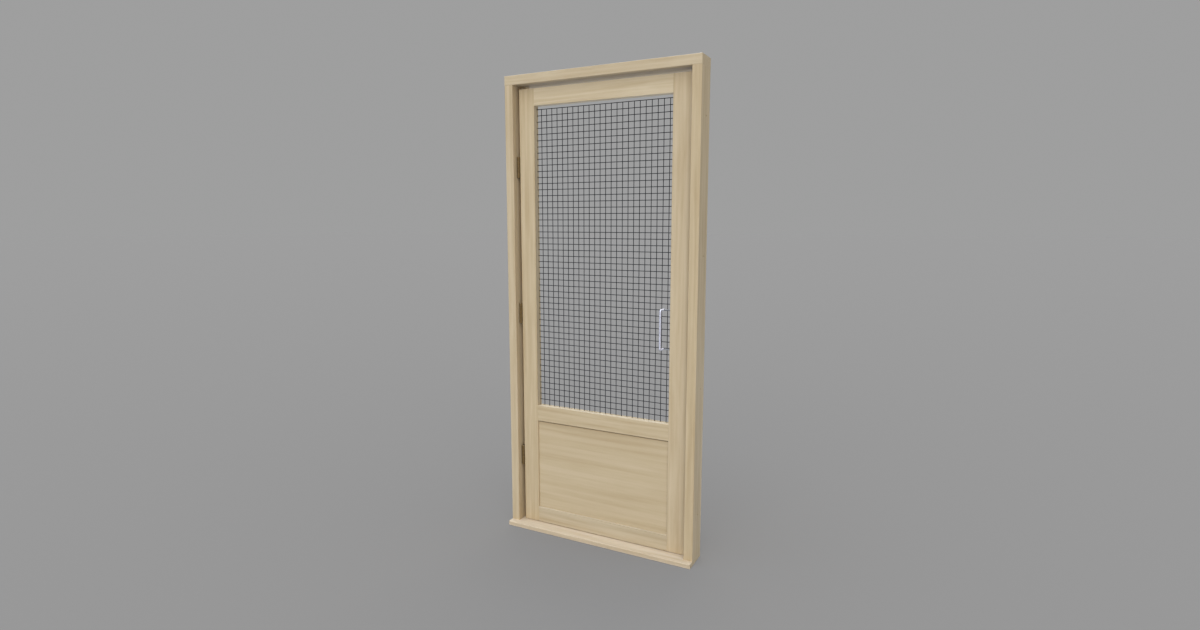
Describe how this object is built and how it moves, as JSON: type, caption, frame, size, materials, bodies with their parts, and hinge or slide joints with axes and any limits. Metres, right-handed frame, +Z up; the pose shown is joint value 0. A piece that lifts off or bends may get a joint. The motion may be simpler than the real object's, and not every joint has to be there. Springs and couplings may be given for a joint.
{
  "type": "hinged screen door",
  "caption": "Pale timber screen door in its frame, with wire mesh above a recessed kick panel, hung on butt hinges, with a bent pull bar.",
  "frame": {"origin": "middle of the footprint, on the underside of the sill", "axes": "+X from the hinge side to the lock side, +Y from the front, which the leaf opens towards, to the back, +Z up"},
  "size_m": [0.93, 0.134, 2.119],
  "materials": {
    "timber": "clear matt oil on planed pale timber",
    "mesh_wire": "dark coated welded wire",
    "hinge_bronze": "dark bronze, worn on the knuckles",
    "pull_steel": "satin",
    "arm_steel": "dull grey plating",
    "fastener_steel": "zinc plated",
    "hinge_screw_steel": "bronze coloured",
    "magnet": "plated magnet"
  },
  "bodies": {
    "frame": {"sill": "timber", "head": "timber", "hinge_jamb": "timber", "lock_jamb": "timber", "hinge_stop": "timber", "lock_stop": "timber", "frame_screws": "fastener_steel", "stop_nails": "fastener_steel", "hinge_frame_plate_top": "hinge_bronze", "hinge_frame_plate_middle": "hinge_bronze", "hinge_frame_plate_bottom": "hinge_bronze", "hinge_pin_top": "hinge_bronze", "hinge_pin_middle": "hinge_bronze", "hinge_pin_bottom": "hinge_bronze", "jamb_hinge_screws": "hinge_screw_steel", "catch_magnet": "magnet"},
    "leaf": {"hinge_stile": "timber", "lock_stile": "timber", "top_rail": "timber", "mid_rail": "timber", "bottom_rail": "timber", "kick_panel": "timber", "panel_fillet": "timber", "mesh_uprights": "mesh_wire", "mesh_crosswires": "mesh_wire", "bead_hinge_side": "timber", "bead_lock_side": "timber", "bead_bottom": "timber", "bead_pins": "fastener_steel", "hinge_leaf_plate_top": "hinge_bronze", "hinge_leaf_plate_middle": "hinge_bronze", "hinge_leaf_plate_bottom": "hinge_bronze", "leaf_hinge_screws": "hinge_screw_steel", "pull_handle": "pull_steel", "handle_arm_upper": "arm_steel", "handle_arm_lower": "arm_steel", "handle_rivets": "fastener_steel", "handle_screws": "arm_steel", "catch_plate": "fastener_steel", "catch_screw": "fastener_steel"}
  },
  "joints": [
    {"name": "leaf_hinge", "type": "hinge", "parent": "frame", "child": "leaf", "pos_m": [-0.41675, -0.006, 0], "axis": [0, 0, -1], "range_deg": [0, 95]}
  ]
}
